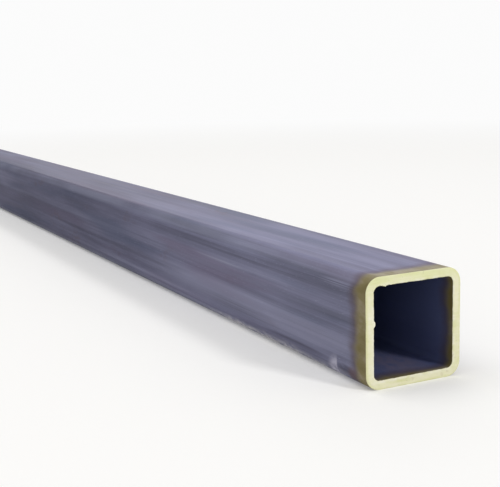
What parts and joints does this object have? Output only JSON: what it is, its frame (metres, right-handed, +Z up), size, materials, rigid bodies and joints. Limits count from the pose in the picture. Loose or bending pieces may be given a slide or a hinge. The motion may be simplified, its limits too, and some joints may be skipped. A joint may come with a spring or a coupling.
{
  "type": "square steel tube",
  "caption": "Straight square hollow section in mill-finish steel with rounded corners, an internal weld bead and paint-marked saw-cut ends, stock for frames, posts and brackets.",
  "frame": {"origin": "middle of the length, on the surface that the tube rests on, midway across its width", "axes": "+X along the length towards the end that the picture shows, -Y out of the wall with the weld seam, +Z up"},
  "size_m": [1, 0.05, 0.05],
  "materials": {
    "mill_scale": "dark slate mill scale, satin, with pale yellow marking paint on the saw-cut ends"
  },
  "bodies": {
    "root": {"tube": "mill_scale"}
  },
  "joints": []
}
